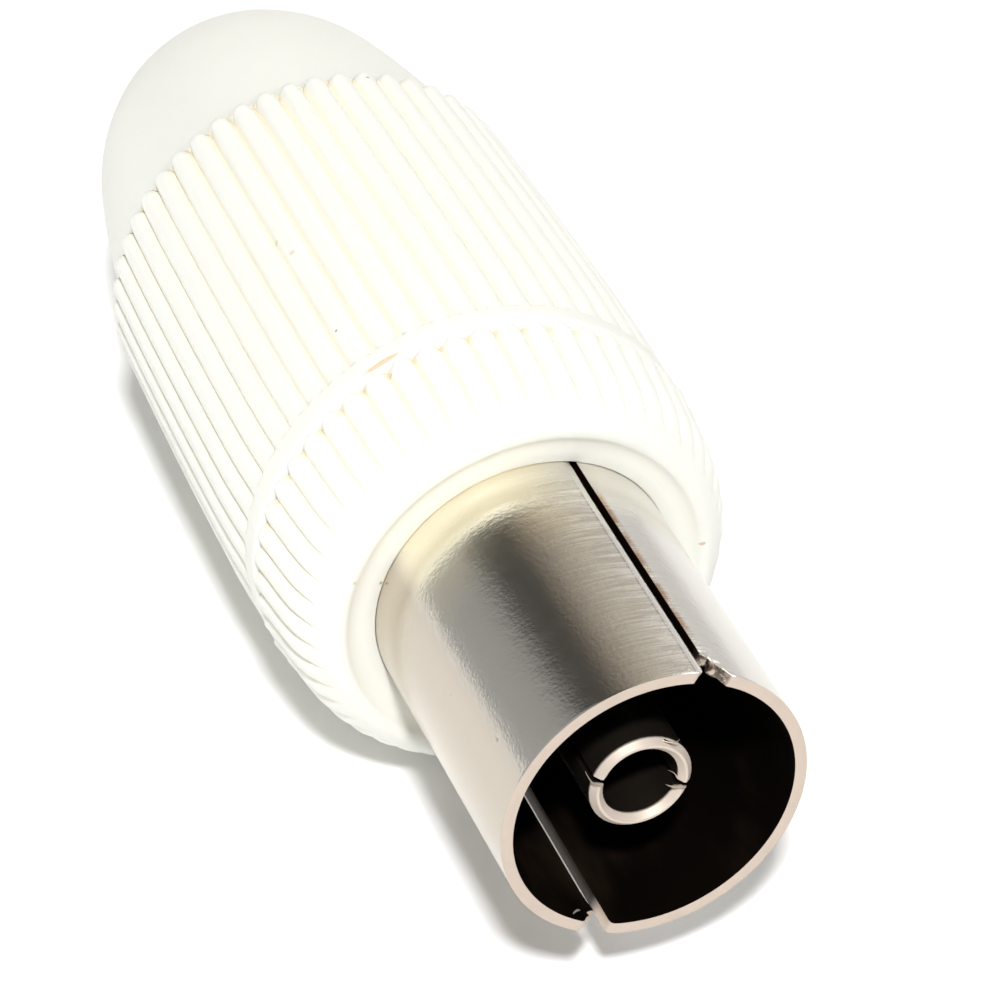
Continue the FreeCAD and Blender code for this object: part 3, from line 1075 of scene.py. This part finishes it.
@dataclass
class OuterShell:
    """The slit barrel of bent sheet with its flange."""

    radius: float = 5.15
    wall: float = 0.40
    seat: float = 23.3
    flange: float = 5.9
    slit_end: float = 13.2
    slit_angle: float = 19.4
    columns: int = 56
    lip_reach: float = 0.25
    squeeze: float = 1.6
    edge_bevel: float = 0.05
    lips: tuple[Lip, ...] = (
        Lip(curl=0.085), Lip(width=0.70, height=1.05, torn=0.055),
        Lip(width=0.16, height=0.16), Lip(half=0.30, width=0.62, height=0.55, torn=0.03))

    def column_angles(self) -> list[float]:
        """Lists the azimuths of the sheet's columns, close together beside the two slits.

        Returns:
            The azimuths in radians.
        """
        near = [0.0, 0.04, 0.09, 0.15, 0.22, 0.29, 0.36, 0.45, 0.56, 0.70, 0.95, 1.3]
        slit = math.radians(self.slit_angle)
        angles = []
        for start, first, last in ((slit, self.lips[1], self.lips[2]),
                                   (slit + math.pi, self.lips[3], self.lips[0])):
            left = [start + (first.half + item) / self.radius for item in near]
            right = [start + math.pi - (last.half + item) / self.radius for item in near[::-1]]
            span = (right[0] - left[-1]) / (self.columns + 1)
            middle = [left[-1] + span * (index + 1) for index in range(self.columns)]
            angles += left + middle + right
        return angles

    def lip_at(self, angle: float) -> tuple[Lip, float]:
        """Finds the slit edge nearest to an angle.

        Args:
            angle: azimuth in radians.

        Returns:
            The lip, and the distance from its edge, below zero inside the slit.
        """
        turned = (angle - math.radians(self.slit_angle) + math.pi / 2.0) % TURN
        lower = turned >= math.pi
        across = (turned % math.pi - math.pi / 2.0) * self.radius
        lip = self.lips[(2 if lower else 0) + (1 if across > 0.0 else 0)]
        return lip, abs(across) - lip.half

    def build(self, outer: BrushedNickel, inner: PaintedBoreShade, edge: CutEdge) -> bpy.types.Object:
        """Makes the barrel, gives it its wall and dresses it.

        Args:
            outer: finish of the outside.
            inner: finish of the inside, a painted shade.
            edge: finish of the sawn edges.

        Returns:
            The barrel.
        """
        piece = finish_mesh(self._sheet(), "barrel_sheet", 40.0, recalculate=False)
        for finish, name in ((outer, "brushed_nickel"), (inner, "barrel_bore"), (edge, "cut_edge")):
            piece.data.materials.append(finish.build(name))
        sheet = piece.modifiers.new("wall", "SOLIDIFY")
        sheet.thickness = self.wall * MM
        sheet.offset = -1.0
        sheet.use_even_offset = True
        sheet.use_rim = True
        sheet.material_offset = 1
        sheet.material_offset_rim = 2
        bevel = piece.modifiers.new("edges", "BEVEL")
        bevel.width = self.edge_bevel * MM
        bevel.segments = 2
        bevel.limit_method = "ANGLE"
        bevel.angle_limit = math.radians(45.0)
        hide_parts("outer_shell")
        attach(piece, Body.FRONT.value)
        return piece

    def _sheet(self) -> bmesh.types.BMesh:
        """Turns the bent sheet, cuts its slits and turns its faces outwards.

        Returns:
            The outside of the sheet.
        """
        stations = [0.0, 0.12, 0.26, 0.42, 0.60, 0.80, 1.1, 1.6, 2.6, 4.2, 6.0, 8.0, 10.0, 12.0,
                    self.slit_end, 14.5, 18.0]
        bend = round_corner((self.radius, 22.9), (self.radius, self.seat),
                            (self.radius + 0.4, self.seat), 4)
        profile = [(self.radius, item) for item in stations] + bend + [(self.flange, self.seat)]
        mesh = bmesh.new()
        angles = self.column_angles()
        turn(mesh, profile, len(angles), closed=False)
        self._move_columns(mesh, angles)
        gone = [face for face in mesh.faces
                if self.lip_at(azimuth(face.calc_center_median()))[1] < -0.01
                and face.calc_center_median().y / MM < self.slit_end]
        bmesh.ops.delete(mesh, geom=gone, context="FACES")
        self._shape_mouth(mesh)
        bmesh.ops.recalc_face_normals(mesh, faces=mesh.faces)
        mesh.normal_update()
        side = Vector((self.radius, self.slit_end, 0.0)) * MM
        probe = min(mesh.faces, key=lambda face: (face.calc_center_median() - side).length)
        if probe.normal.x < 0.0:
            bmesh.ops.reverse_faces(mesh, faces=mesh.faces)
        return mesh

    def _move_columns(self, mesh: bmesh.types.BMesh, angles: Sequence[float]) -> None:
        """Moves the even columns of the spin to the chosen azimuths.

        Args:
            mesh: the turned sheet.
            angles: azimuth of each column in radians.
        """
        count = len(angles)
        for vert in mesh.verts:
            share = (azimuth(vert.co) - math.pi / 2.0) / TURN % 1.0
            index = round(share * count) % count
            radius = Vector((vert.co.x, vert.co.z)).length / MM
            place_on_ring(vert, angles[index], radius, vert.co.y / MM)

    def _shape_mouth(self, mesh: bmesh.types.BMesh) -> None:
        """Cuts back the mouth's corners at the slits and curls the lips in a little.

        Args:
            mesh: the sheet with its slits cut.
        """
        for vert in mesh.verts:
            angle, along = azimuth(vert.co), vert.co.y / MM
            if along > self.slit_end + 0.01:
                continue
            lip, gap = self.lip_at(angle)
            radius = Vector((vert.co.x, vert.co.z)).length / MM
            fade = 1.0 - smooth_step(self.slit_end - 3.5, self.slit_end - 0.5, along)
            curl = lip.curl * max(1.0 - max(gap, 0.0) / self.lip_reach, 0.0) * fade
            front = lip.setback(gap)
            if along < self.squeeze:
                along = front + along * (1.0 - front / self.squeeze)
            if lip.torn:
                near = 1.0 - smooth_step(0.1, lip.width + 0.15, gap)
                low = 1.0 - smooth_step(0.2, self.squeeze, along)
                wave = 0.6 + 0.5 * math.sin(gap * 21.0) + 0.35 * math.sin(along * 17.0 + gap * 9.0)
                curl += lip.torn * wave * near * low
            place_on_ring(vert, angle, radius - curl, along)


@dataclass(frozen=True)
class Burr:
    """A sliver of metal left by the saw: a curved spike.

    Attributes:
        name: its name.
        start: its foot as x, y and z in millimetres.
        end: its tip.
        bow: how far its middle leaves the straight line, as x, y and z.
        thick: radius at the foot.
    """

    name: str
    start: tuple[float, float, float]
    end: tuple[float, float, float]
    bow: tuple[float, float, float]
    thick: float

    def build(self, material: bpy.types.Material, slot: Slot) -> bpy.types.Object:
        """Makes the sliver.

        Args:
            material: its finish, already made.
            slot: the slot of the part that it sits on; not used.

        Returns:
            The sliver.
        """
        mesh = bmesh.new()
        bmesh.ops.create_cone(
            mesh, cap_ends=True, segments=8, radius1=self.thick * MM, radius2=self.thick * 0.2 * MM,
            depth=1.0)
        bmesh.ops.subdivide_edges(
            mesh, edges=[item for item in mesh.edges
                         if abs(item.verts[0].co.z - item.verts[1].co.z) > 0.5], cuts=5)
        start, end, bow = (Vector(item) * MM for item in (self.start, self.end, self.bow))
        swing = (end - start).to_track_quat("Z", "Y")
        for vert in mesh.verts:
            share = vert.co.z + 0.5
            across = swing @ Vector((vert.co.x, vert.co.y * 0.55, 0.0))
            vert.co = start.lerp(end, share) + across + bow * (4.0 * share * (1.0 - share))
        piece = finish_mesh(mesh, self.name, 60.0)
        piece.data.materials.append(material)
        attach(piece, Body.FRONT.value)
        return piece


@dataclass
class InnerParts:
    """The CAD parts that stay: contact, insulator, screw, washer and claw."""

    contact: ContactMetal = ContactMetal()
    screw: TurnedMetal = TurnedMetal((0.62, 0.62, 0.60, 1.0), 0.34)
    claw: TurnedMetal = TurnedMetal((0.70, 0.69, 0.66, 1.0), 0.30)
    insulator: DarkInsulator = DarkInsulator()

    def dress(self, nodes: dict[str, bpy.types.Object]) -> None:
        """Gives each part its finish.

        Args:
            nodes: the frame's CAD objects by name.
        """
        contact = self.contact.build("contact_plating")
        screw = self.screw.build("screw_zinc")
        claw = self.claw.build("claw_plating")
        insulator = self.insulator.build("insulator_black")
        pairs = {"centre_contact": contact, "core_screw": screw, "thrust_washer": claw,
                 "clamp_claw": claw, "insulator": insulator}
        for name, material in pairs.items():
            data = nodes[name].data
            if not data.materials:
                data.materials.append(material)
            for index in range(len(data.materials)):
                data.materials[index] = material
            LOG.info("dressed %s with %s", name, material.name)


@dataclass
class Studio:
    """White table, soft lamps and the camera of the photograph."""

    floor_level: float = -7.985
    eye: tuple[float, float, float] = (-46.660, -107.752, 104.267)
    look: tuple[float, float, float] = (0.28251, 0.73382, -0.61782)
    lens: float = 181.3
    lift: float = 0.02
    table: Colour = (0.95, 0.95, 0.95, 1.0)
    table_half: float = 0.9
    middle: tuple[float, float, float] = (0.0, 18.0, 0.0)
    walls: tuple[tuple[float, Colour], ...] = (
        (-180.0, (0.10, 0.10, 0.10, 1.0)),
        (-100.0, (0.14, 0.14, 0.14, 1.0)),
        (-60.0, (0.42, 0.42, 0.40, 1.0)),
        (-37.0, (0.35, 0.35, 0.34, 1.0)),
        (-34.0, (0.28, 0.28, 0.27, 1.0)),
        (-30.0, (0.06, 0.06, 0.055, 1.0)),
        (-12.0, (0.06, 0.056, 0.050, 1.0)),
        (-1.0, (0.19, 0.165, 0.135, 1.0)),
        (9.0, (0.35, 0.31, 0.26, 1.0)),
        (19.0, (0.48, 0.44, 0.37, 1.0)),
        (27.0, (0.64, 0.59, 0.50, 1.0)),
        (37.0, (0.62, 0.58, 0.52, 1.0)),
        (42.0, (0.70, 0.69, 0.68, 1.0)),
        (70.0, (0.60, 0.60, 0.59, 1.0)),
        (100.0, (0.12, 0.12, 0.12, 1.0)),
    )

    def build(self) -> None:
        """Makes the floor, the lamps, the surroundings and the camera."""
        self._floor()
        self._surroundings()
        self._lamp("key", (-164.0, -486.0, 729.0), 0.080, 7.7)
        self._lamp("left", (-400.0, 0.0, 180.0), 0.24, 0.26)
        self._lamp("back", (330.0, 170.0, 265.0), 0.20, 0.32)
        self._camera()

    def _floor(self) -> None:
        """Lays the table: white to the camera where it is lit, with the shadow left on it."""
        mesh = bmesh.new()
        bmesh.ops.create_grid(mesh, x_segments=1, y_segments=1, size=self.table_half)
        bmesh.ops.translate(mesh, verts=mesh.verts, vec=(0.0, 0.0, self.floor_level * MM))
        table = finish_mesh(mesh, "table", recalculate=False)
        shader = Shader("table_white")
        seen = shader.node("ShaderNodeLightPath", {}, output="Is Camera Ray")
        lift = shader.mix(seen, BLACK, (self.lift, self.lift, self.lift, 1.0))
        shader.set(Base_Color=self.table, Roughness=0.9, Specular_IOR_Level=0.0,
                   Emission_Color=lift, Emission_Strength=1.0)
        table.data.materials.append(shader.material)

    def _surroundings(self) -> None:
        """Sets the room's light: grey walls with one dark side behind, white to the camera."""
        world = bpy.data.worlds.new("studio")
        bpy.context.scene.world = world
        world.use_nodes = True
        tree = Tree(world.node_tree)
        tree.nodes.clear()
        x, y, _ = tree.split(tree.node("ShaderNodeTexCoord", {}, output="Generated"))
        walls = tree.nodes.new("ShaderNodeValToRGB")
        tree.feed(walls.inputs[0], x.angle_to(y) / TURN + 0.5)
        ramp = walls.color_ramp
        ramp.interpolation = "EASE"
        ramp.elements.remove(ramp.elements[-1])
        ramp.elements[0].position = 0.0
        ramp.elements[0].color = self.walls[0][1]
        for degrees, colour in self.walls[1:]:
            ramp.elements.new(0.5 + degrees / 360.0).color = colour
        light = tree.node("ShaderNodeBackground", {}, Color=Socket(tree, walls.outputs[0]))
        seen = tree.node("ShaderNodeBackground", {}, Color=WHITE)
        camera_ray = tree.node("ShaderNodeLightPath", {}, output="Is Camera Ray")
        output = tree.nodes.new("ShaderNodeOutputWorld")
        tree.feed(output.inputs["Surface"],
                  tree.node("ShaderNodeMixShader", {}, camera_ray, light, seen))

    def _lamp(self, name: str, place: Sequence[float], size: float, watts: float) -> None:
        """Hangs a square soft lamp that faces the socket's middle.

        Args:
            name: the lamp's name.
            place: where it hangs, in millimetres.
            size: its side in metres.
            watts: its power.
        """
        data = bpy.data.lights.new(name, "AREA")
        data.shape = "SQUARE"
        data.size = size
        data.energy = watts
        lamp = bpy.data.objects.new(name, data)
        lamp.location = Vector(place) * MM
        aim = Vector(self.middle) - Vector(place)
        lamp.rotation_euler = aim.to_track_quat("-Z", "Y").to_euler()
        bpy.context.scene.collection.objects.link(lamp)

    def _camera(self) -> None:
        """Puts the camera where the photograph was taken."""
        data = bpy.data.cameras.new("photograph")
        data.lens = self.lens
        data.sensor_width = 36.0
        data.clip_start = 0.005
        data.clip_end = 5.0
        camera = bpy.data.objects.new("photograph", data)
        camera.location = Vector(self.eye) * MM
        camera.rotation_euler = Vector(self.look).to_track_quat("-Z", "Y").to_euler()
        bpy.context.scene.collection.objects.link(camera)
        bpy.context.scene.camera = camera
        bpy.context.scene.view_settings.view_transform = "Standard"


def report(pieces: Sequence[bpy.types.Object]) -> None:
    """Logs the triangles of each new piece.

    Args:
        pieces: the pieces that the script made.
    """
    graph = bpy.context.evaluated_depsgraph_get()
    for piece in pieces:
        data = piece.evaluated_get(graph).to_mesh()
        data.calc_loop_triangles()
        LOG.info("%s: %d triangles", piece.name, len(data.loop_triangles))
        piece.evaluated_get(graph).to_mesh_clear()


def main() -> None:
    """Builds the socket's looks in order."""
    logging.basicConfig(level=logging.INFO, format="%(name)s: %(message)s")
    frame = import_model()
    Studio().build()
    collar_marks = (
        Mark(-24.2, 14.98, 0.10, 0.06, AMBER, 0.6),
        Mark(86.9, 11.2, 0.08, 0.3, RUST, 0.55, 6.28, 0.13),
        Mark(-69.5, 11.2, 0.09, 0.3, STRAW, 0.5, 6.3, 0.09),
        Mark(-70.1, 11.3, 0.07, 0.3, SOOT, 0.6, 5.26, 0.05),
    )
    cover_marks = (
        Mark(-24.5, 15.60, 0.74, 0.12, AMBER, 0.55),
        Mark(14.0, 31.1, 0.07, 0.07, SOOT, 0.6),
        Mark(-29.6, 18.15, 0.06, 0.06, SOOT, 0.6),
        Mark(-31.2, 23.9, 0.10, 0.10, STRAW, 0.5),
        Mark(-28.9, 22.8, 0.11, 0.11, AMBER, 0.35),
        Mark(16.9, 28.6, 0.14, 0.10, STRAW, 0.5),
    )
    pieces = [
        RearCover().build(WhiteMoulding(marks=cover_marks)),
        FrontCollar().build(WhiteMoulding(marks=collar_marks, notched=0.6)),
        OuterShell().build(BrushedNickel(), PaintedBoreShade(), CutEdge()),
    ]
    burr_metal = CutEdge(fade_from=50.0, fade_to=60.0).build("burr_metal")
    burrs = (
        (Burr("burr_hook", (0.72, 1.12, 1.56), (1.12, 0.80, 1.74), (0.06, -0.04, -0.10), 0.05),
         Slot.CONTACT),
        (Burr("burr_sliver", (-1.48, 1.10, 0.36), (-1.98, 0.95, 1.26), (-0.02, 0.0, -0.10), 0.06),
         Slot.CONTACT),
        (Burr("burr_flap", (1.36, 1.12, -0.55), (0.78, 1.00, -0.20), (0.0, 0.0, -0.06), 0.09),
         Slot.CONTACT),
        (Burr("burr_thread", (1.20, 1.15, -0.15), (0.86, 1.02, 0.34), (0.05, 0.0, 0.02), 0.035),
         Slot.CONTACT),
        (Burr("burr_low", (-2.28, 0.62, -4.20), (-2.60, 0.30, -3.98), (0.0, 0.0, 0.04), 0.07),
         Slot.NICKEL),
    )
    pieces += [burr.build(burr_metal, slot) for burr, slot in burrs]
    InnerParts().dress(frame["nodes"])
    report(pieces)


if __name__ == "__main__":
    main()
